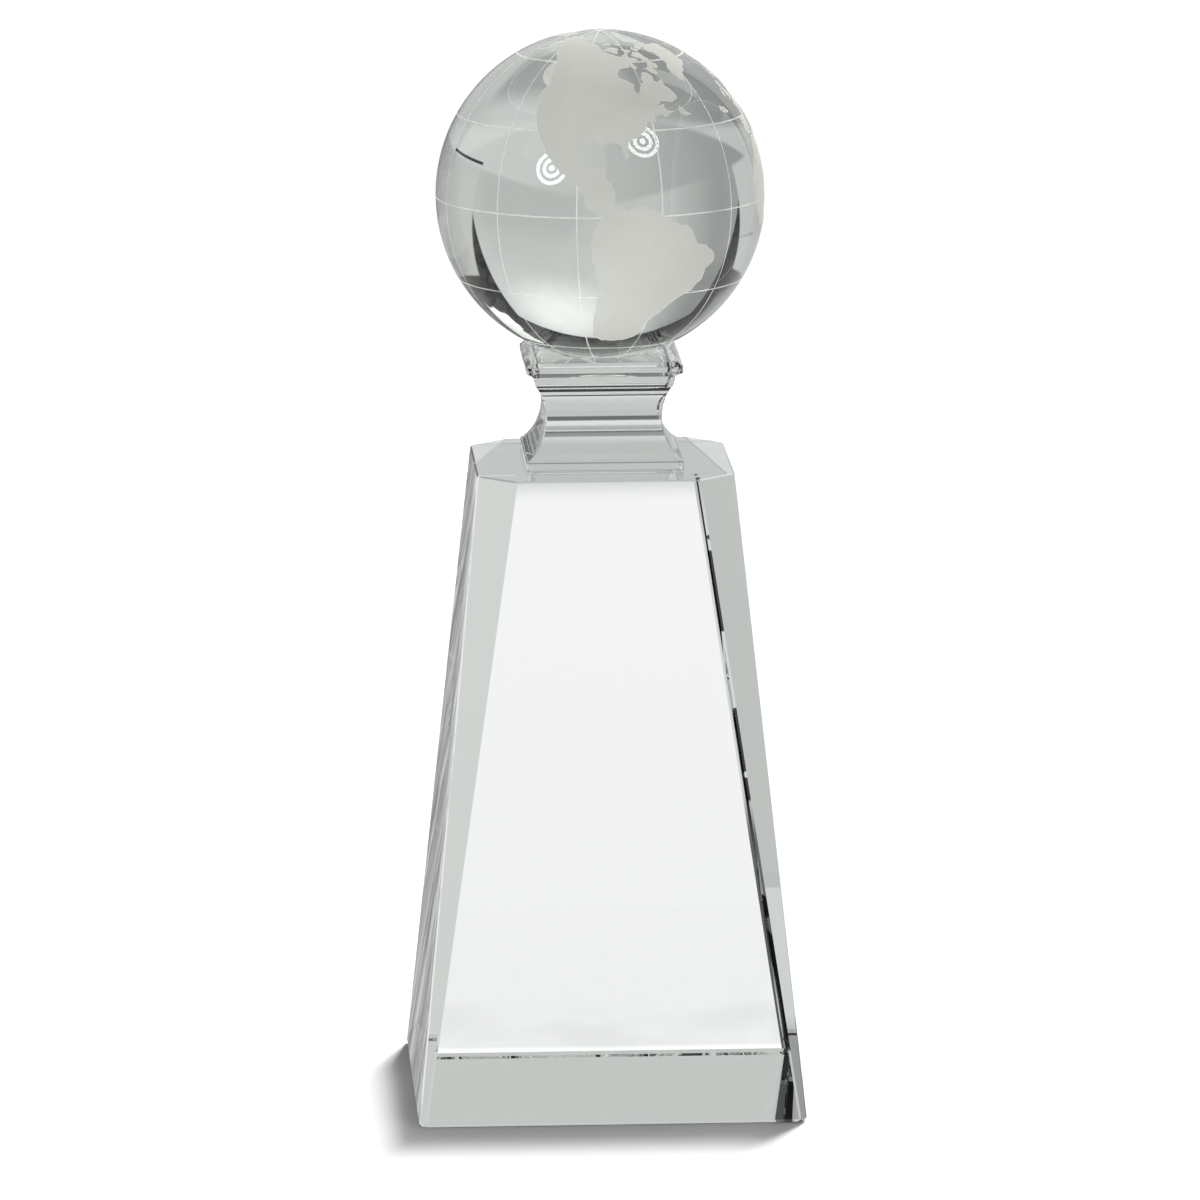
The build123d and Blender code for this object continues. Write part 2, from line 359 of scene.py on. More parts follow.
# ---- the globe
# Coasts of the world map: the main turns of each outline, as longitude, latitude, and so on
COASTS = (
    # North America
    (-168, 65.7, -162, 66.5, -166, 68.3, -156.5, 71.3, -141, 69.6, -134, 69.5, -128, 70.3, -122, 69.5,
     -115, 68, -108, 67.8, -98, 67.8, -95.5, 71.5, -92, 71, -90, 68.8, -85.5, 69.5, -81.5, 69, -82, 67,
     -87, 66.3, -87, 64.3, -94, 61, -94.5, 58.7, -92.5, 57, -88, 56.5, -82.5, 55.2, -82, 53, -79.5, 51.3,
     -78.8, 54.5, -76.8, 57.2, -78.2, 60, -77.5, 62.4, -73.5, 62.3, -70, 61, -69.5, 59, -67.5, 58.3,
     -65.5, 59.5, -64, 60.2, -61.8, 57, -57.5, 54.6, -55.7, 52.3, -60, 50.2, -66.5, 50.2, -71, 47,
     -65, 49.2, -64.5, 46.8, -60.2, 46.6, -65.3, 43.5, -67, 44.8, -70.6, 43, -70, 41.7, -74, 40.7,
     -75.8, 36.5, -76.8, 34.7, -81, 31.8, -80.1, 26.5, -81.2, 25.2, -82.7, 28, -84, 30, -89.5, 30.2,
     -90, 29.1, -94.5, 29.4, -97.1, 27.2, -97.5, 24.8, -96.7, 21, -95, 19.2, -92.1, 19.6, -91.3, 20.8,
     -87.3, 21.4, -87.2, 17.9, -84.8, 16.8, -82.2, 13.3, -82.2, 9.8, -79.4, 8.3, -78, 7, -82, 5,
     -85.7, 4.5, -89.8, 6.2, -92.2, 7.2, -92.8, 10.3, -95.7, 11.6, -98.3, 15.2, -102.2, 15.5,
     -105.4, 17.3, -110.6, 20.3, -114.1, 23.8, -117.5, 26.7, -121.5, 31.1, -124.9, 36.3, -127.6, 41.2,
     -126.7, 44, -127, 46, -131.2, 50, -138.6, 55.8, -144, 58, -147, 58.5, -151.5, 58, -154, 58.5,
     -161, 55.5, -164.8, 54.6, -158, 58, -162, 59, -165.5, 61.5, -161, 64.3, -166.5, 64.6),
    (-123.4, 48.4, -125.2, 48.9, -128.3, 50.6, -125.2, 50.2),  # Vancouver
    # Baffin
    (-80.5, 73.7, -76.5, 72.7, -70.5, 70.8, -67.5, 69, -62, 66.8, -65, 65.5, -68, 66.2, -65, 63.2,
     -66.5, 62.2, -71.5, 63, -77.5, 64.5, -73, 65.5, -72.8, 68, -78.5, 70, -88.5, 70.5, -88.5, 73.5),
    (-117, 69, -105.5, 69, -101.5, 69.7, -105, 72.8, -111, 72.5, -118, 71, -114.5, 70.3),  # Victoria
    (-125.5, 72, -123, 71.2, -120.5, 71.7, -116, 73.2, -121, 74.4, -124.5, 74),  # Banks
    (-96, 74, -90.5, 73.9, -93, 71.8, -97.5, 72, -102, 72.7, -98, 73.5),  # Somerset
    (-87, 65.6, -81, 64, -83.5, 62.9, -86.7, 63.7),  # Southampton
    (-92, 76.6, -80.5, 75.6, -81, 74.6, -92, 74.8),  # Devon
    (-116, 76.3, -106, 75.8, -105.5, 75, -114, 74.8),  # Melville
    # Ellesmere
    (-90, 79.7, -87, 76.5, -79, 76.3, -76, 78.5, -68, 80, -62, 82.5, -72, 83.1, -86, 82.2, -91, 81.4),
    (-56.3, 49.3, -54, 48.3, -49.1, 45.9, -52.5, 45.3, -56.1, 45.7),  # Newfoundland
    # Greenland
    (-73, 78.2, -66.5, 76.1, -58, 75.6, -54.7, 71.5, -51, 69.5, -53.5, 67, -51.8, 64, -48, 61, -43.3, 60,
     -40.5, 64.3, -32, 68.1, -22.5, 70.3, -22, 74, -19, 76.5, -18, 80, -12, 81.6, -32, 83.5, -45, 82.3,
     -60, 82, -67, 80.3),
    (-25.2, 49.5, -21.5, 48.7, -18.8, 46.4, -24.1, 46.5, -26.5, 47.6),  # Azores
    # South America
    (-84, 7.5, -79.6, 7.9, -76.8, 7.9, -74.7, 10.2, -71.3, 11.4, -69.3, 10.3, -65.8, 9.6, -61.8, 8.5,
     -58.2, 7, -54.2, 6.6, -51.2, 4.2, -48.7, 0.6, -44, 0, -39.8, -2.7, -38.6, -5.1, -41.5, -8.7,
     -41.1, -12.7, -43.8, -17.6, -48.4, -21, -50.6, -24, -52.8, -28.2, -55.1, -32.3, -55.3, -38.1,
     -57, -43, -63, -46, -70, -47.5, -75.4, -45.6, -78.2, -36.2, -79.6, -28.4, -80.7, -21.4, -83.1, -15.3,
     -85.6, -9.7, -87, -4.1, -86.8, 0, -86, 2.7, -85.2, 5.2),
    # Africa
    (-5.9, 35.8, -2, 35.1, 3, 36.8, 10, 37.3, 11, 34, 15.2, 32.3, 19.5, 30.4, 21.5, 32.9, 29, 31,
     32.5, 31.2, 34, 27.5, 37.2, 21, 39.3, 15.7, 43.2, 12, 44.5, 10.4, 51.2, 11.9, 48, 4.5, 41.5, -2,
     39, -6.5, 40.6, -14.8, 35, -20, 35.5, -24, 32.8, -26.5, 30.5, -31, 25.7, -34, 20, -34.8, 18.3, -33.8,
     15.2, -27, 11.8, -18, 13.7, -11, 12, -5, 9, -0.8, 9.7, 4, 5.5, 4.5, 1.8, 6.3, -4, 5.2, -7.6, 4.4,
     -13.2, 8.8, -17.2, 14.7, -16.3, 19.2, -17, 21.5, -13, 27.7, -9.7, 30.5, -9, 32.6, -6.5, 34),
    (49.3, -12, 50.4, -15.8, 47.2, -25, 44, -25, 43.5, -21.5, 44.4, -16.4),  # Madagascar
    # Eurasia
    (-9, 43.2, -9.4, 38.7, -8.8, 37, -6.2, 36.5, -2.2, 36.8, 0, 39, 3.2, 42, 4.5, 43.4, 8.7, 44.4,
     10.5, 42.8, 15.8, 38.2, 17, 39.2, 18.4, 40.2, 14, 42.5, 12.5, 45.4, 15.2, 44.3, 19.5, 41.5,
     22.7, 36.6, 24, 38.2, 23, 40.5, 26.3, 40.6, 27, 37, 30.5, 36.6, 36, 36.6, 35, 32.3, 32.5, 31.2,
     35, 28.2, 38.8, 22, 42.7, 16.5, 45, 12.9, 52, 16.3, 59.7, 22.3, 56.5, 26, 51.5, 25, 50, 29.7,
     57, 26.8, 61.7, 25.2, 67, 24.8, 70.5, 20.8, 73, 18, 77.5, 8.2, 80.2, 13.5, 82.3, 16.6, 87, 21.4,
     91.8, 22.5, 94.3, 16.2, 97.6, 16.5, 98.7, 9, 103.5, 1.4, 103.3, 4.5, 100.3, 8.3, 100.8, 13.3,
     105, 8.8, 109.2, 12.6, 106.5, 20, 110.2, 20.8, 116.5, 23, 121.7, 28.5, 119.4, 34.8, 122.5, 37,
     118, 39, 121.5, 40.7, 125.2, 39, 126.5, 34.4, 129.3, 36, 127.8, 39.5, 135, 43.4, 140.5, 50, 138, 54,
     143, 59.3, 154, 59.3, 163, 62.5, 156, 57.3, 156.7, 51.2, 162, 55, 163.3, 58.5, 170.5, 60,
     179.5, 62.5, 190, 66, 180, 69, 170.5, 69.8, 160, 69.8, 150, 71.6, 140, 72.5, 130, 71, 123, 73.2,
     113, 73.8, 105, 77.6, 95, 76.1, 81, 73.5, 72.8, 72.7, 69, 68.3, 60, 68.8, 54, 68.4, 46, 68.2,
     40.5, 66.7, 41, 67.8, 33, 69.3, 28, 71, 20, 69.9, 13, 65.5, 10, 63.7, 5.3, 61.5, 6, 58.5, 10.5, 59.2,
     12.8, 55.5, 16.5, 56.8, 18.7, 60, 21.5, 64, 25, 65.6, 22.5, 61, 29.5, 60, 24, 58.3, 21.3, 55.5,
     14.3, 54, 10.8, 54.2, 10.5, 57.6, 8.2, 56.5, 8.7, 53.9, 4.7, 53, 1.7, 50.8, -1.5, 48.7, -4.7, 48.4,
     -1.2, 45.5, -1.8, 43.4),
    # Britain
    (-5.6, 50.1, -3.2, 51.4, -5.2, 51.9, -3, 53.8, -5, 55, -6, 57.2, -3.3, 58.6, -2, 57.5, -1.4, 54.8,
     1.6, 52.8, 1.3, 51.2),
    (-10, 51.6, -6.2, 52.2, -5.7, 54.5, -7.5, 55.3, -10, 54),  # Ireland
    (12.5, 37.9, 15.6, 38.2, 15.1, 36.7),  # Sicily
    (8.4, 39, 8.3, 40.9, 9.5, 41.2, 9.6, 39.2),  # Sardinia
    (11, 79.5, 18, 80.2, 26, 80, 20, 78.3, 16.5, 76.7),  # Svalbard
    (51.5, 71.5, 57.5, 70.7, 57, 73.3, 68, 76.9, 60, 76.2, 53.5, 73.5),  # Novaya Zemlya
    (79.8, 8.5, 81.8, 7.4, 80.4, 5.9),  # Sri Lanka
    (95.3, 7.6, 100.5, 4.2, 106, 0, 105.7, -3, 100, -3.4, 97, -2.2, 94.6, 3),  # Sumatra
    (105.3, -6.6, 108.7, -6.7, 114.4, -7.7, 114.4, -8.7, 108, -7.8),  # Java
    (109.2, 1.8, 111.5, 2.5, 116.8, 7, 119.1, 5.2, 117.5, 0.8, 116.2, -3.9, 110.2, -2.9),  # Borneo
    # Sulawesi
    (119.6, -0.2, 120.5, 1.2, 125, 1.5, 121, 0.6, 120.5, -1, 123.3, -1, 121.7, -2.2, 122.6, -5.2,
     120.5, -3, 119.7, -5.5, 118.9, -2.8),
    (120.5, 18.4, 122.3, 18.3, 121.8, 15, 124, 12.7, 120.6, 14),  # Luzon
    (122, 7.2, 125.5, 9.8, 126.4, 7, 124.2, 6.1),  # Mindanao
    # New Guinea
    (131, -0.8, 134.2, -0.8, 137.8, -1.5, 144.5, -3.8, 147.8, -6.2, 150.7, -10.5, 146.8, -9, 143, -9.2,
     138.5, -8.2, 138, -5.5, 133, -4),
    (120.2, 23, 121.6, 25.2, 120.9, 22),  # Taiwan
    # Honshu
    (131, 34, 135.7, 35.6, 139.5, 38.5, 140.3, 41.2, 141.9, 39.5, 140.8, 35.7, 136.8, 34.3, 135.5, 33.6,
     131, 31.2, 129.9, 33),
    (140, 41.6, 141.7, 45.4, 145.3, 43.4, 143.2, 42),  # Hokkaido
    (142, 46, 142.5, 53.8, 143.6, 50, 143.5, 46.8),  # Sakhalin
    # Australia
    (113.7, -22.5, 114.1, -26.3, 115.7, -31.9, 115.1, -34.3, 118.5, -34.9, 124, -33, 131.2, -31.5,
     135.5, -34.8, 138.2, -33.5, 140, -37.5, 146.4, -39, 150, -37.4, 153, -32, 153.1, -26, 149, -21,
     146, -18.9, 145.2, -15, 142.6, -10.8, 141.5, -13.5, 140.8, -17.5, 136, -15.5, 136.9, -12.2,
     132.5, -11.4, 129.6, -15, 126, -14, 122.2, -17.8, 119, -20),
    (144.7, -40.8, 148.3, -40.9, 147, -43.5),  # Tasmania
    (172.8, -34.5, 175.5, -36.8, 178.4, -37.8, 176, -41.4, 173.8, -39.3, 174.8, -37.8),  # North Island
    (172.7, -40.6, 174.2, -41.7, 170.7, -45.8, 168.4, -46.6, 166.6, -45.8, 170.5, -43),  # South Island
    # Antarctica
    (-60, -64, -62, -67.5, -65, -73, -78, -77.5, -60, -82, -40, -78.5, -25, -74.5, -8, -71, 20, -70,
     40, -69, 55, -66.5, 75, -69.5, 90, -66.7, 110, -66, 130, -66.2, 150, -68.5, 170, -71.5, 165, -78,
     -160, -78.5, -135, -74.5, -110, -74.5, -85, -73, -70, -72, -67, -67),
)


def map_to_globe():
    """Rotation from the map's own axes to the globe's, where -90 degrees longitude faces -Y."""
    lean = Matrix.Rotation(math.radians(MAP_LEAN), 3, "Y")
    tip = Matrix.Rotation(math.radians(MAP_TIP), 3, "X")
    return lean @ tip @ Matrix.Rotation(math.radians(MAP_TURN), 3, "Z")


def direction(longitude, latitude):
    """Unit vector with longitude counted from +X towards +Y, both in degrees."""
    lon = math.radians(longitude)
    lat = math.radians(latitude)
    return Vector((math.cos(lat) * math.cos(lon), math.cos(lat) * math.sin(lon), math.sin(lat)))


def wiggle(seed, step):
    """A repeatable small number for coast detail, from -1 to 1."""
    return math.sin(12.9898 * seed + 78.233 * step) * math.cos(4.1414 * step + seed)


COAST_STEP = math.radians(1.4)  # between points along a coast
COAST_DETAIL = 0.38  # reach of bays and capes, as a share of that step


def coast_line(outline, seed, rotation):
    """A closed outline on the unit sphere, with small bays and capes between its main turns."""
    turns = zip(outline[::2], outline[1::2])
    corners = [rotation @ direction(longitude, latitude) for longitude, latitude in turns]
    points = []
    for number, corner in enumerate(corners):
        following = corners[(number + 1) % len(corners)]
        length = corner.angle(following)
        pieces = max(1, round(length / COAST_STEP))
        sideways = corner.cross(following)
        if sideways.length > 0:
            sideways.normalize()
        for piece in range(pieces):
            share = piece / pieces
            point = corner.lerp(following, share)
            if piece:
                reach = COAST_DETAIL * min(length / pieces, COAST_STEP)
                point = point + sideways * reach * wiggle(seed + number, piece)
            points.append(point.normalized())
    return points


def ring(axis, height, spacing):
    """A circle on the unit sphere at a height along a unit axis."""
    across = axis.orthogonal().normalized()
    up = axis.cross(across)
    radius = math.sqrt(1 - height * height)
    count = max(24, round(2 * math.pi * radius / spacing))
    points = []
    for step in range(count):
        angle = 2 * math.pi * step / count
        flat = across * math.cos(angle) + up * math.sin(angle)
        points.append((axis * height + flat * radius).normalized())
    return points


HALF_LINE = LINE_WIDTH / 2 / GLOBE_RADIUS
LINE_AXES = [(Vector((0, 0, 1)), math.sin(math.radians(lat))) for lat in range(-60, 90, GRATICULE_STEP)]
for number in range(180 // GRATICULE_STEP):
    heading = math.radians(GRATICULE_TURN + number * GRATICULE_STEP)
    LINE_AXES.append((Vector((math.cos(heading), math.sin(heading), 0)), 0))


def on_line(point):
    """True where a graticule line is engraved."""
    return any(abs(axis.dot(point) - height) < HALF_LINE for axis, height in LINE_AXES)


def inside_flat(point, outline):
    """True if a 2-D point is inside a closed 2-D outline, by counting crossings."""
    x, y = point
    inside = False
    last = outline[-1]
    for here in outline:
        if (here[1] > y) != (last[1] > y):
            cut = (last[0] - here[0]) * (y - here[1]) / (last[1] - here[1]) + here[0]
            if x < cut:
                inside = not inside
        last = here
    return inside


class Land:
    """One coast outline, with a quick test of whether a point of the sphere is inside it."""

    def __init__(self, points):
        self.points = points
        self.centre = sum(points, Vector()).normalized()
        self.reach = max(self.centre.angle(point) for point in points) + 0.01
        self.across = self.centre.orthogonal().normalized()
        self.up = self.centre.cross(self.across)
        self.flat = [self.project(point) for point in points]

    def project(self, point):
        share = 2 / (1 + self.centre.dot(point))
        return share * self.across.dot(point), share * self.up.dot(point)

    def holds(self, point):
        if self.centre.dot(point) < math.cos(min(self.reach, math.pi)):
            return False
        return inside_flat(self.project(point), self.flat)


# Mesh of the globe, on a unit sphere
FILL_STEP = 1.25 * MM / GLOBE_RADIUS  # between the points that fill the open surface
LINE_STEP = 1.6 * MM / GLOBE_RADIUS  # between points along a graticule line
NEAR = 0.45  # no filling this close to a line, in fill steps
FILL_SHARE = 0.9  # area of a filling point, in squares of the fill step
WELD = 2e5  # points that round to the same multiple of 1 / WELD are one
ON_SEAM = 1e-12  # distance from the plane y = 0 that counts as none
MERGE = 1e-7  # angles and flat points closer than this are the same
SEA, LAND, LINE = range(3)  # order of the materials, too
DEPTHS = (0, ETCH_DEPTH, LINE_DEPTH)


def split_at_seam(points):
    """Adds a point wherever a closed line crosses the plane y = 0."""
    result = []
    for number, point in enumerate(points):
        following = points[(number + 1) % len(points)]
        result.append(point)
        if point.y * following.y < 0:
            share = point.y / (point.y - following.y)
            crossing = point.lerp(following, share)
            crossing.y = 0
            result.append(crossing.normalized())
    return result


def chart(point, side):
    """Stereographic map of the half sphere on one side (+1 is +Y) to the unit disc."""
    share = 1 / (1 + side * point.y)
    return Vector((point.x * share, point.z * share))


def unchart(flat, side):
    """Inverse of chart."""
    size = flat.x * flat.x + flat.y * flat.y
    share = 1 / (1 + size)
    return Vector((2 * flat.x * share, side * (1 - size) * share, 2 * flat.y * share))


def globe_half(side, lines, seam):
    """Triangulates one half of the sphere with every line as an edge. Returns points and faces."""
    flats = [chart(point, side) for point in seam]
    edges = [(n, (n + 1) % len(seam)) for n in range(len(seam))]
    taken = {}

    def cell(point):
        return tuple(math.floor(part / FILL_STEP) for part in point)

    for point in seam:
        taken.setdefault(cell(point), []).append(point)
    for points in lines:
        count = len(points)
        kept = {}
        for number, point in enumerate(points):
            if point.y * side > 0:
                kept[number] = len(flats)
                flats.append(chart(point, side))
                taken.setdefault(cell(point), []).append(point)
            elif abs(point.y) < ON_SEAM:
                kept[number] = min(range(len(seam)), key=lambda n: (seam[n] - point).length)
        for number in range(count):
            following = (number + 1) % count
            if number in kept and following in kept and kept[number] != kept[following]:
                middle = points[number] + points[following]
                if middle.y * side >= 0:
                    edges.append((kept[number], kept[following]))

    def crowded(point):
        home = cell(point)
        for step in product((-1, 0, 1), repeat=3):
            beside = tuple(a + b for a, b in zip(home, step))
            if any((other - point).length < FILL_STEP * NEAR for other in taken.get(beside, ())):
                return True
        return False

    total = round(4 * math.pi / (FILL_STEP * FILL_STEP * FILL_SHARE))
    golden = math.pi * (3 - math.sqrt(5))
    for number in range(total):
        height = 1 - 2 * (number + 0.5) / total
        radius = math.sqrt(1 - height * height)
        angle = golden * number
        point = Vector((radius * math.cos(angle), radius * math.sin(angle), height))
        if point.y * side > FILL_STEP * NEAR and not crowded(point):
            flats.append(chart(point, side))
    verts, _, faces, *_ = delaunay_2d_cdt(flats, edges, [list(range(len(seam)))], 1, MERGE)
    return [unchart(flat, side) for flat in verts], faces


def seam_points(lines):
    """Points around the plane y = 0: every crossing of a line, and even steps between them."""
    fixed = [math.atan2(point.z, point.x) for points in lines for point in points if abs(point.y) < ON_SEAM]
    steps = round(2 * math.pi / FILL_STEP)
    angles = list(fixed)
    for number in range(steps):
        angle = 2 * math.pi * number / steps - math.pi
        if all(abs(angle - other) > FILL_STEP * NEAR for other in fixed):
            angles.append(angle)
    angles.sort()
    distinct = [angle for n, angle in enumerate(angles) if n == 0 or angle - angles[n - 1] > MERGE]
    return [Vector((math.cos(angle), 0, math.sin(angle))) for angle in distinct]


def build_globe():
    """A ball whose land and graticule are cut a little below the polished surface."""
    rotation = map_to_globe()
    lands = [Land(coast_line(outline, seed, rotation)) for seed, outline in enumerate(COASTS)]
    lines = [split_at_seam(land.points) for land in lands]
    for axis, height in LINE_AXES:
        for edge in (-HALF_LINE, HALF_LINE):
            lines.append(split_at_seam(ring(axis, height + edge, LINE_STEP)))
    seam = seam_points(lines)
    bm = bmesh.new()
    shared = {}

    def rounded(point):
        return tuple(round(part * WELD) for part in point)

    def vertex(point, level):
        key = (*rounded(point), level)
        if key not in shared:
            shared[key] = bm.verts.new(point * (GLOBE_RADIUS - DEPTHS[level]))
        return shared[key]

    edge_use = {}
    for side in (-1, 1):
        points, faces = globe_half(side, lines, seam)
        for face in faces:
            corners = [points[n] for n in face]
            middle = sum(corners, Vector()).normalized()
            level = SEA
            if any(land.holds(middle) for land in lands):
                level = LAND
            elif on_line(middle):
                level = LINE
            normal = (corners[1] - corners[0]).cross(corners[2] - corners[0])
            if normal.dot(middle) < 0:
                corners.reverse()
            made = [vertex(corner, level) for corner in corners]
            if len(set(made)) < 3:
                continue
            try:
                skin = bm.faces.new(made)
            except ValueError:
                continue
            skin.material_index = level
            skin.smooth = True
            for n, corner in enumerate(corners):
                following = corners[(n + 1) % len(corners)]
                ends = frozenset((rounded(corner), rounded(following)))
                edge_use.setdefault(ends, []).append((level, corner, following))
    for uses in edge_use.values():
        if len(uses) == 2 and uses[0][0] != uses[1][0]:
            (level, start, end), (other, _, _) = uses
            wall = [vertex(end, level), vertex(start, level), vertex(start, other), vertex(end, other)]
            side_face = bm.faces.new(wall)
            side_face.material_index = LINE
            side_face.smooth = False
    mesh = bpy.data.meshes.new("globe_glass")
    bm.to_mesh(mesh)
    bm.free()
    normals = []
    for polygon in mesh.polygons:
        for index in polygon.vertices:
            round_here = polygon.use_smooth
            normals.append(mesh.vertices[index].co.normalized() if round_here else polygon.normal)
    mesh.normals_split_custom_set(normals)
    mesh.transform(Matrix.Translation(GLOBE_CENTRE))
    for material in (CRYSTAL, FROSTED, ENGRAVED):
        mesh.materials.append(material)
    return new_piece("globe_etched", mesh, "globe")


# ---- the neck
PER_SIDE = 16  # points along each side of the neck
NECK_ARRIS = 0.28 * MM  # fine flat ground along each upright edge
# Moulding in millimetres: half width and height above the neck's foot
FOOT = [(18.75, 0), (19, 0.25), (19, 2.35), (18.85, 2.5), (18.6, 2.5)]
WAIST = (14.1, 12.9)
COVE_TOP = (16.4, 20.3)
COLLAR = [(16.6, 20.3), (17.2, 22.9), (18.9, 24.03), (19, 24.2), (19, 25.5), (18, 26.5)]
COVE_STEPS = 40
DISH_STEPS = 8
SHARP_TURN = math.radians(25)  # faces that meet at a wider angle than this get a crisp edge
LEVEL = 1e-7  # heights closer than this are the same
DIGITS = 7  # and so are heights that round to the same number of digits


def circle_through(a, b, c):
    """Centre and radius of the circle through three 2-D points."""
    ax, ay = a
    bx, by = b
    cx, cy = c
    d = 2 * (ax * (by - cy) + bx * (cy - ay) + cx * (ay - by))
    a2 = ax * ax + ay * ay
    b2 = bx * bx + by * by
    c2 = cx * cx + cy * cy
    ux = (a2 * (by - cy) + b2 * (cy - ay) + c2 * (ay - by)) / d
    uy = (a2 * (cx - bx) + b2 * (ax - cx) + c2 * (bx - ax)) / d
    return ux, uy, math.hypot(ax - ux, ay - uy)


def moulding():
    """Profile of the neck as (half width, height, sharp) from foot to top, in metres."""
    profile = [(w, h, True) for w, h in FOOT]
    ux, uy, radius = circle_through(FOOT[-1], WAIST, COVE_TOP)
    start = math.atan2(FOOT[-1][1] - uy, FOOT[-1][0] - ux) % (2 * math.pi)
    end = math.atan2(COVE_TOP[1] - uy, COVE_TOP[0] - ux) % (2 * math.pi)
    for step in range(1, COVE_STEPS):
        angle = start + (end - start) * step / COVE_STEPS
        profile.append((ux + radius * math.cos(angle), uy + radius * math.sin(angle), False))
    profile.append((*COVE_TOP, True))
    profile += [(w, h, True) for w, h in COLLAR]
    return [(w * MM, neck_low.z + h * MM, sharp) for w, h, sharp in profile]


def square_ring(bm, half, height):
    """Points around a square with tiny cut corners, anticlockwise from the front left."""
    ring_points = []
    for quarter in range(4):
        turn = Matrix.Rotation(math.radians(90 * quarter), 3, "Z")
        reach = half - NECK_ARRIS
        for step in range(PER_SIDE + 1):
            along = -reach + 2 * reach * step / PER_SIDE
            ring_points.append(bm.verts.new(turn @ Vector((along, -half, height))))
    return ring_points


def band(bm, lower, upper):
    """A strip of faces between two closed rings of points."""
    for n in range(len(lower)):
        m = (n + 1) % len(lower)
        bm.faces.new((lower[n], lower[m], upper[m], upper[n]))


def build_neck():
    """The waisted square neck, with a ground dish in its top."""
    bm = bmesh.new()
    profile = moulding()
    rings = [square_ring(bm, half, height) for half, height, _ in profile]
    count = len(rings[0])
    for lower, upper in zip(rings, rings[1:]):
        band(bm, lower, upper)
    bm.faces.new(list(reversed(rings[0])))
    drop = GLOBE_CENTRE.z - profile[-1][1]
    rim = math.sqrt(SEAT_RADIUS * SEAT_RADIUS - drop * drop)
    last = rings[-1]
    for step in range(DISH_STEPS):
        radius = rim * (1 - step / DISH_STEPS)
        height = GLOBE_CENTRE.z - math.sqrt(SEAT_RADIUS * SEAT_RADIUS - radius * radius)
        here = []
        for vert in rings[-1]:
            angle = math.atan2(vert.co.y, vert.co.x)
            here.append(bm.verts.new((radius * math.cos(angle), radius * math.sin(angle), height)))
        band(bm, last, here)
        last = here
    centre = bm.verts.new((0, 0, GLOBE_CENTRE.z - SEAT_RADIUS))
    for n in range(count):
        bm.faces.new((last[n], last[(n + 1) % count], centre))
    for face in bm.faces:
        face.smooth = True
    bm.normal_update()
    sharp_heights = {round(height, DIGITS) for _, height, sharp in profile if sharp}

    def is_level(edge):
        return abs(edge.verts[0].co.z - edge.verts[1].co.z) < LEVEL

    for edge in bm.edges:
        if is_level(edge) and round(edge.verts[0].co.z, DIGITS) in sharp_heights:
            edge.smooth = False
        if len(edge.link_faces) == 2 and edge.calc_face_angle() > SHARP_TURN:
            edge.smooth = False
    for ring_points in rings:
        for n in range(count):
            if n % (PER_SIDE + 1) in (0, PER_SIDE):
                for edge in ring_points[n].link_edges:
                    if not is_level(edge):
                        edge.smooth = False
    mesh = bpy.data.meshes.new("neck_glass")
    bm.to_mesh(mesh)
    bm.free()
    mesh.materials.append(MOULDED)
    return new_piece("neck_moulded", mesh, "neck")


# ---- the CAD nodes that stay
def dress(node, material):
    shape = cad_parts[node]
    shape.data.materials.clear()
    shape.data.materials.append(material)
    for polygon in shape.data.polygons:
        polygon.use_smooth = False


build_globe()
build_neck()
dress("tower", FACETED)
dress("neck_bond", ADHESIVE)
dress("globe_bond", ADHESIVE)

# ---- studio
WHITE = 1.02  # paper white of the floor and backdrop as the camera sees them
FLOOR_DROP = 0.2 * MM  # air under the award, so that its underside mirrors
# Lamps in front, as azimuth clockwise from +Y and elevation, in degrees
LAMPS = ((220, 24), (144, 42))
LAMP_SIZE = 12
LAMP_LEVEL = 11
DEGREES = 180 / math.pi


class Tent:
    """The light tent as a colour for every direction. Azimuth is clockwise from +Y, in degrees.

    Directions ahead of the award share the azimuths of those behind it, as in a mirror.
    """

    def __init__(self, g, ray):
        self.g = g
        x, y, z = g.split(ray)
        self.heading = g.times(g.math("ARCTAN2", x, y), DEGREES)
        self.turned = g.size(self.heading)
        ahead = g.math("GREATER_THAN", self.turned, 90)
        folded = g.minus(g.times(g.math("SIGN", self.heading), 180), self.heading)
        self.az = g.plus(self.heading, g.times(ahead, g.minus(folded, self.heading)))
        self.el = g.times(g.math("ARCSINE", z), DEGREES)

    def line(self, value, at, slope, base=0):
        """at + slope * (value - base)."""
        g = self.g
        return g.plus(at, g.times(g.minus(value, base), slope))

    def over(self, value, limit, soft):
        return self.g.ramp(self.g.minus(value, limit), -soft, soft)

    def under(self, value, limit, soft):
        return self.g.ramp(self.g.minus(value, limit), soft, -soft)

    def patch(self, left, right, bottom, top, soft=0.6):
        """1 inside a window of directions. Each side may be a number or a socket."""
        return self.g.times(
            self.over(self.az, left, soft), self.under(self.az, right, soft),
            self.over(self.el, bottom, soft), self.under(self.el, top, soft),
        )

    def glow(self, az, el, wide, high, core):
        """A soft round pool of light, 1 at its middle."""
        g = self.g
        u = g.math("DIVIDE", g.minus(self.az, az), wide)
        v = g.math("DIVIDE", g.minus(self.el, el), high)
        return g.ramp(g.math("SQRT", g.plus(g.times(u, u), g.times(v, v))), core, 1, 1, 0)

    def paint(self, mask, colour):
        self.colour = self.g.blend(mask, self.colour, colour)

    def dim(self, mask, level):
        self.paint(mask, self.g.dimmed(self.colour, level))


def tone(level, warmth=0):
    """A near grey of the given brightness, with the faint green cast of the tent cloth."""
    return (level * (0.97 + warmth), level, level * (0.975 - warmth), 1)


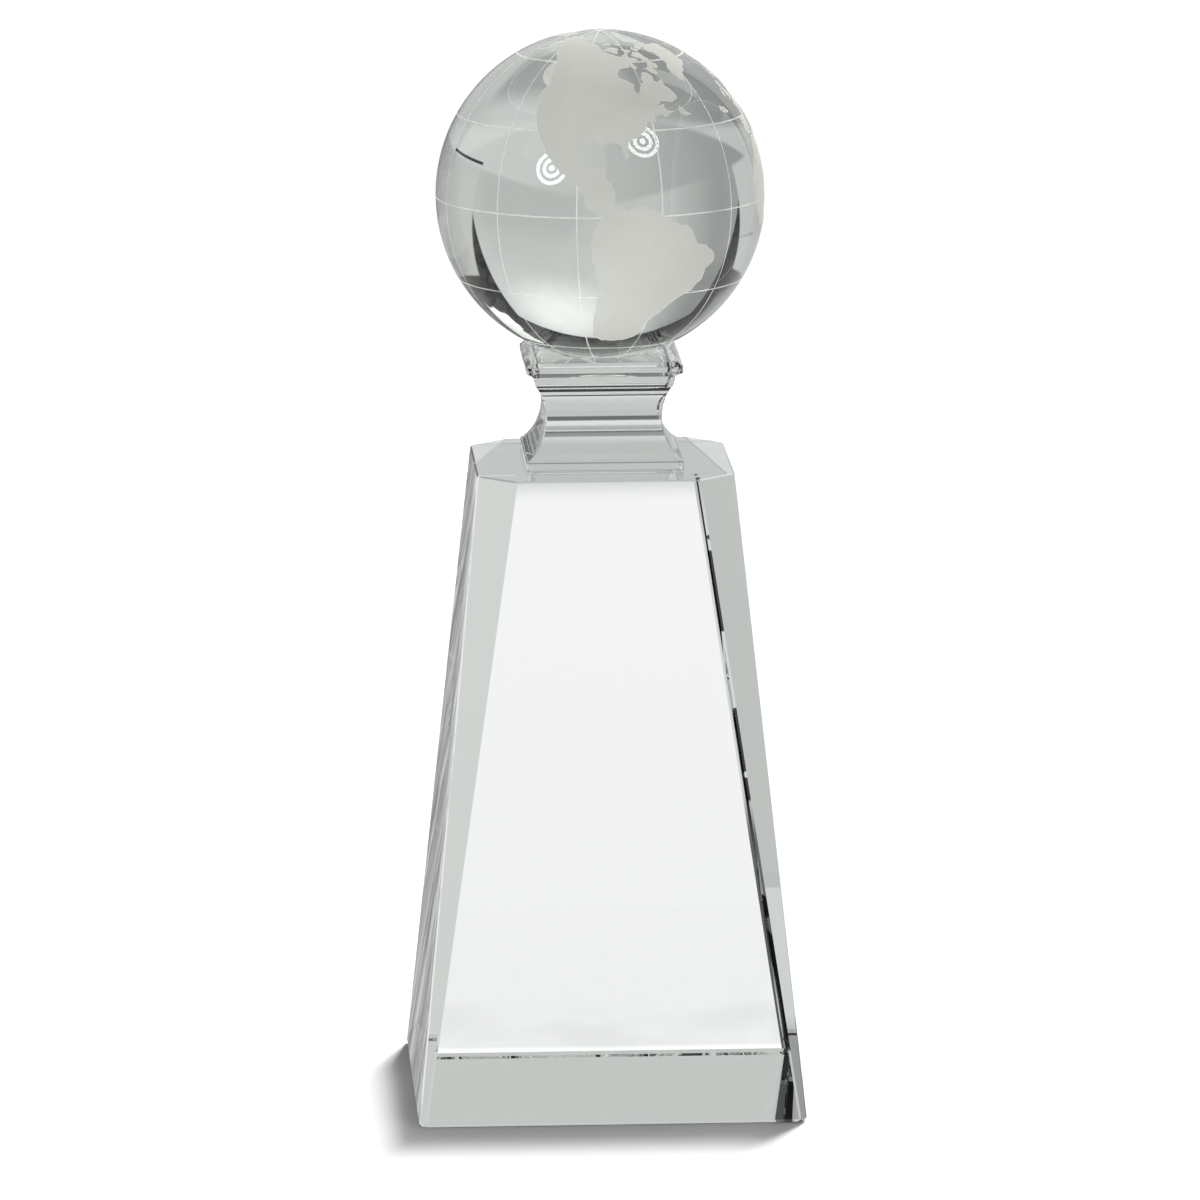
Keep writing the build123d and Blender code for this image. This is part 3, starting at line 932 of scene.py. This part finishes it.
def paint_lamps(g, tent, ray, first):
    """Ring lamps ahead, seen only in the first mirror image of the globe's front."""
    for lamp_az, lamp_el in LAMPS:
        at = direction(90 - lamp_az, lamp_el)
        off = g.times(g.math("ARCCOSINE", g.vector("DOT_PRODUCT", ray, tuple(at))), DEGREES)
        turns = g.math("DIVIDE", g.minus(off, 0.26 * LAMP_SIZE), 0.38 * LAMP_SIZE)
        rings = g.ramp(g.math("COSINE", g.times(turns, 2 * math.pi)), 0, 0.45, LAMP_LEVEL, 0)
        tent.paint(g.times(tent.under(off, LAMP_SIZE, 0.3), first), g.grey(rings))


def paint_tent(g, ray, depth, near=None):
    """Light tent: backdrop, side walls, roof, table and gaps. near is 1 on the table close by."""
    tent = Tent(g, ray)
    az, el, turned = tent.az, tent.el, tent.turned
    folds = g.noise(g.vector("MULTIPLY", ray, (6, 6, 14)), 1.6, 3, 0.6)
    tent.colour = g.blend(g.ramp(folds, 0.52, 0.70), tone(0), tone(0.05))
    # roof
    eaves = g.ramp(az, -30, 5, 56, 64)
    for above, soft, level in ((0, 1.5, 0.16), (3, 0.8, 0.03), (8, 3, 0.55)):
        tent.paint(tent.over(el, g.plus(eaves, above), soft), tone(level))
    # grey cloth at the upper left
    tent.paint(tent.patch(-78, -47, 30, 56, 3), tone(0.20))
    # backdrop sheet, brightest right of the middle
    arch = g.minus(42.5, g.times(g.times(az, az), 0.006))
    sheet = tent.patch(tent.line(el, -42.5, 0.22), tent.line(el, 42.5, -0.19), -40, arch, 0.5)
    low = g.blend(g.ramp(az, -36, -8), tone(0.36), tone(0.62))
    low = g.blend(tent.patch(6, 60, -30, 2, 4), low, tone(0.56))
    high = g.blend(g.ramp(az, -32, -2), tone(0.26), tone(0.72))
    cloth = g.blend(g.ramp(el, 4, 24), low, high)
    tent.paint(sheet, g.blend(tent.glow(16, 29, 24, 18, 0.2), cloth, tone(1.05)))
    # side walls
    right_wall = tent.patch(tent.line(el, 43, 0.22), 100, -30, tent.line(az, 19.5, 0.25, 44))
    tent.paint(right_wall, g.blend(g.ramp(az, 42, 80), tone(0.60, 0.01), tone(0.48)))
    left_wall = tent.patch(-100, tent.line(el, -44.5, -0.24), -30, tent.line(az, 21, -0.35, -52))
    tent.paint(left_wall, g.blend(g.ramp(az, -80, -50), tone(0.46), tone(0.62)))
    # window at the upper right
    rough = g.times(g.minus(g.noise(ray, 9), 0.5), 16)
    tent.paint(tent.patch(g.plus(rough, 42), 60, g.minus(38, rough), 56, 0.8), tone(1.5, 0.01))
    # table: grey paper, paler to the right, and in shade close behind on the left
    table = tent.under(el, g.minus(-6, g.times(g.size(az), 0.2)), 0.8)
    paper = g.blend(g.ramp(az, -40, 22, kind="LINEAR"), tone(0.33), tone(0.68))
    if near is not None:
        close = g.blend(g.ramp(az, -15, 15), tone(0.60), tone(0.75))
        paper = g.blend(g.times(near, tent.over(el, -27, 2)), paper, close)
    steep = g.times(tent.under(el, -31, 4), tent.patch(-90, -4, -65, 0, 6))
    paper = g.blend(steep, paper, tone(0.36))
    paper = g.blend(tent.patch(18, 48, -58, -36, 5), paper, tone(0.44))
    ahead = g.ramp(turned, 85, 100)
    paper = g.blend(ahead, paper, g.grey(g.ramp(g.noise(ray, 2.2), 0.35, 0.65, 0.62, 0.92)))
    tent.paint(table, paper)
    # dark line where the right wall meets the table
    seam = g.size(g.minus(el, tent.line(az, -15.5, -0.17, 40)))
    tent.paint(g.times(tent.under(seam, 0.45, 0.2), tent.patch(39, 62, -40, 0, 0.5)), tone(0.02))
    # the room ahead is dimmer than the tent
    tent.dim(ahead, 0.72)
    # arrises, after many turns inside the glass, sparkle black and white
    facing = g.ramp(turned, 80, 95)
    corner = g.times(g.ramp(depth, 3.4, 3.9), g.ramp(turned, 60, 80), tent.under(el, -40, 3))
    tent.paint(corner, tone(0.86))
    spark = g.noise(g.vector("MULTIPLY", ray, (5, 5, 22)), 1, 3, 0.7)
    spark = g.ramp(spark, 0.42, 0.60, 0.03, 0.95)
    gloom = g.times(facing, tent.over(el, -35, 8))
    spark = g.times(spark, g.ramp(gloom, 0, 1, 1, 0.12))
    gleam = g.times(
        g.ramp(tent.heading, -90, -98), g.ramp(tent.heading, -125, -118), tent.over(el, 26, 3),
        tent.under(el, 42, 3),
    )
    gleam = g.math("MAXIMUM", gleam, tent.under(el, -48, 4))
    tent.paint(g.ramp(depth, 3.7, 4.5), g.grey(g.math("MAXIMUM", spark, gleam)))
    # low glow that the facets pick up through the foot
    tent.paint(g.times(tent.glow(36, 42, 14, 12, 0.4), facing), tone(2.6))
    # mirror images on the outside of the glass are faint ahead and grey on the left flank
    first = g.math("LESS_THAN", depth, 1.5)
    tent.dim(g.times(first, facing), 0.45)
    tent.dim(g.times(facing, tent.over(el, -32, 3)), 0.4)
    flank = tent.patch(-60, -1, -40, 5, 1)
    tent.paint(g.times(first, flank, g.math("LESS_THAN", facing, 0.5)), tone(0.30))
    paint_lamps(g, tent, ray, first)
    return tent.colour


FLOOR_RADIUS = 0.9
FLOOR_MIDDLE = 0.3  # the floor reaches further behind the award than ahead of it
GRAIN = (0.895, 0.905)  # paleness of the paper between its darkest and palest fibres


def floor_glow(g):
    """The floor as the glass sees it: the tent's table, a white sheet behind and some shade.

    A ray is known by the place where it meets the floor, by its lean, and by the height above
    the floor at which it left the back of the tower.
    """
    position = g.geometry("Position")
    ray = g.vector("MULTIPLY", g.geometry("Incoming"), (-1, -1, -1))
    depth = g.path("Ray Depth")
    x, y, _ = g.split(position)
    sideways, forward, rise = g.split(ray)
    behind = g.minus(y, tower_high.y)
    slope = g.math("DIVIDE", rise, forward)
    lean_left = g.math("DIVIDE", sideways, forward)
    upright = g.ramp(g.size(lean_left), 0.24, 0.20)
    going_back = g.math("GREATER_THAN", forward, 0)
    launch = g.times(behind, g.times(slope, -1))
    from_neck = g.ramp(launch, 0.147, 0.150)
    # white floor behind the front panel, brighter as a painted sheen at a narrow lean, with painted shade
    # along its left side where the tower's arris shows dark
    off_axis = g.size(g.minus(x, g.times(behind, 0.06)))
    spill = g.minus(off_axis, g.plus(tower_high.x, g.times(behind, 0.05)))
    lane = g.times(
        g.ramp(from_neck, 0, 1, 1, 0), g.ramp(spill, 0.012, 0), g.ramp(behind, 0.50, 0.46),
        g.ramp(behind, -0.01, 0), g.ramp(slope, -0.46, -0.43), upright, going_back,
        g.math("LESS_THAN", depth, 2.5), g.math("GREATER_THAN", depth, 1.5),
    )
    # painted shadow: patchy darkening of the floor close behind the tower
    smudge_and_shadow = g.times(g.ramp(behind, 0.07, 0.02), g.noise(position, 30, 3))
    white = g.ramp(smudge_and_shadow, 0.35, 0.6, 1.03, 0.95)
    # painted highlight: a brighter strip of floor right behind the tower
    white = g.plus(white, g.ramp(behind, 0.007, 0.004, 0, 0.25))
    # painted shade: a dark line that the tower's arris shows on the white
    arris = g.times(
        g.ramp(lean_left, -0.08, -0.10), g.ramp(lean_left, -0.26, -0.22),
        g.ramp(behind, 0.12, 0.18, 1, 0.35),
    )
    white = g.times(white, g.ramp(arris, 0, 1, 1, 0.12))
    table = paint_tent(g, ray, depth, g.ramp(behind, 0.44, 0.40))
    # painted reflection: a pale patch on the floor close behind, that the right facet shows
    facet_reflection = g.times(
        g.ramp(behind, 0.0780, 0.0775), g.ramp(behind, 0, 0.01), g.ramp(lean_left, -0.30, -0.34),
        g.ramp(lean_left, -0.8, -0.7), g.ramp(depth, 2.6, 2.4),
    )
    table = g.blend(facet_reflection, table, tone(0.76))
    # shade that the neck shows as its dark line
    shade = g.times(
        from_neck, g.ramp(launch, 0.178, 0.172), g.ramp(slope, -0.47, -0.44),
        g.ramp(slope, -0.27, -0.30), upright,
    )
    table = g.blend(shade, table, tone(0.16))
    # streaks mirrored on the outside of the tower's left flank
    across = g.plus(y, g.times(g.minus(x, tower_low.x), 14.4))
    streaks = g.noise(g.vector("MULTIPLY", g.triple(across), (1, 0, 0)), 70, 3, 0.7)
    flank = g.times(
        g.math("LESS_THAN", depth, 1.5), g.ramp(lean_left, -0.03, -0.045), g.ramp(slope, -0.30, -0.27),
        g.ramp(slope, -0.10, -0.13), going_back,
    )
    table = g.blend(flank, table, g.grey(g.ramp(streaks, 0.40, 0.62, 0.34, 0.70)))
    return g.emission(g.blend(lane, table, g.grey(white)))


def build_floor():
    """A pale round table top: white paper to the camera, part of the tent to the glass."""
    middle = (0, FLOOR_MIDDLE, -FLOOR_DROP)
    bpy.ops.mesh.primitive_circle_add(vertices=128, radius=FLOOR_RADIUS, fill_type="NGON", location=middle)
    floor = bpy.context.object
    floor.name = "floor"
    material, g = new_material("floor_paper")
    grain = g.ramp(g.noise(g.geometry("Position"), 900, 3), 0.2, 0.8, *GRAIN)
    paper = g.filled("ShaderNodeBsdfDiffuse", {"Color": g.grey(grain)})
    direct = g.math("MAXIMUM", g.path("Is Camera Ray"), g.path("Is Diffuse Ray"))
    g.finish(g.mix(direct, floor_glow(g), paper))
    floor.data.materials.append(material)


def build_world():
    """The tent as the glass sees it, and plain white as the camera sees it."""
    world = bpy.data.worlds.new("studio")
    bpy.context.scene.world = world
    world.use_nodes = True
    g = Graph(world.node_tree)
    ray = g.node("ShaderNodeTexCoord").outputs["Generated"]
    _, y, z = g.split(ray)
    fill = g.times(g.ramp(y, 0, -0.3), g.ramp(z, 0.55, 0.35))
    ambient = g.grey(g.ramp(fill, 0, 1, 0.18, 0.5, kind="LINEAR"))
    # a ray counts one step more out here than on the floor
    colour = paint_tent(g, ray, g.minus(g.path("Ray Depth"), 1))
    colour = g.blend(g.path("Is Diffuse Ray"), colour, ambient)
    colour = g.blend(g.path("Is Camera Ray"), colour, (WHITE, WHITE, WHITE, 1))
    g.finish(g.node("ShaderNodeBackground", colour).outputs[0], "ShaderNodeOutputWorld")


LAMP_BEHIND = (20, 30)  # azimuth and elevation of the light that casts the shadow
LAMP_POWER = 6.6
LAMP_SPREAD = 14  # its width in degrees, which sets how soft the shadow is


def build_sun():
    """Soft light from the upper right and behind, for the floor and its faint shadow."""
    light = bpy.data.lights.new("key", "SUN")
    light.energy = LAMP_POWER
    light.angle = math.radians(LAMP_SPREAD)
    lamp = bpy.data.objects.new("key", light)
    bpy.context.scene.collection.objects.link(lamp)
    towards = direction(90 - LAMP_BEHIND[0], LAMP_BEHIND[1])
    lamp.rotation_euler = towards.to_track_quat("Z", "Y").to_euler()
    lamp.visible_glossy = False
    lamp.visible_transmission = False


CAMERA_AZIMUTH = -2.86
CAMERA_ELEVATION = 10.61
CAMERA_DISTANCE = 2.502
CAMERA_LENS = 307.1
CAMERA_SENSOR = 36
CAMERA_ROLL = -0.21
CAMERA_AIM = (-0.00045, 0.12059)  # sideways and height of the aim point


def build_camera():
    """A long lens a little left of the front, looking slightly down."""
    az = math.radians(CAMERA_AZIMUTH)
    el = math.radians(CAMERA_ELEVATION)
    back = Vector((math.sin(az) * math.cos(el), -math.cos(az) * math.cos(el), math.sin(el)))
    right = Vector((math.cos(az), math.sin(az), 0))
    up = back.cross(right)
    roll = math.radians(CAMERA_ROLL)
    right_rolled = right * math.cos(roll) + up * math.sin(roll)
    up_rolled = up * math.cos(roll) - right * math.sin(roll)
    data = bpy.data.cameras.new("camera")
    data.lens = CAMERA_LENS
    data.sensor_width = CAMERA_SENSOR
    data.clip_end = 50
    camera = bpy.data.objects.new("camera", data)
    bpy.context.scene.collection.objects.link(camera)
    aim = Vector((0, 0, CAMERA_AIM[1])) + right * CAMERA_AIM[0]
    turn = Matrix((right_rolled, up_rolled, back)).transposed().to_4x4()
    camera.matrix_world = Matrix.Translation(aim + back * CAMERA_DISTANCE) @ turn
    bpy.context.scene.camera = camera


build_floor()
build_world()
build_sun()
build_camera()

DEEP_BOUNCES = 40  # rays turn many times inside the glass
scene = bpy.context.scene
scene.view_settings.view_transform = "Standard"
scene.cycles.max_bounces = DEEP_BOUNCES
scene.cycles.transmission_bounces = DEEP_BOUNCES
scene.cycles.glossy_bounces = 24
scene.cycles.transparent_max_bounces = DEEP_BOUNCES
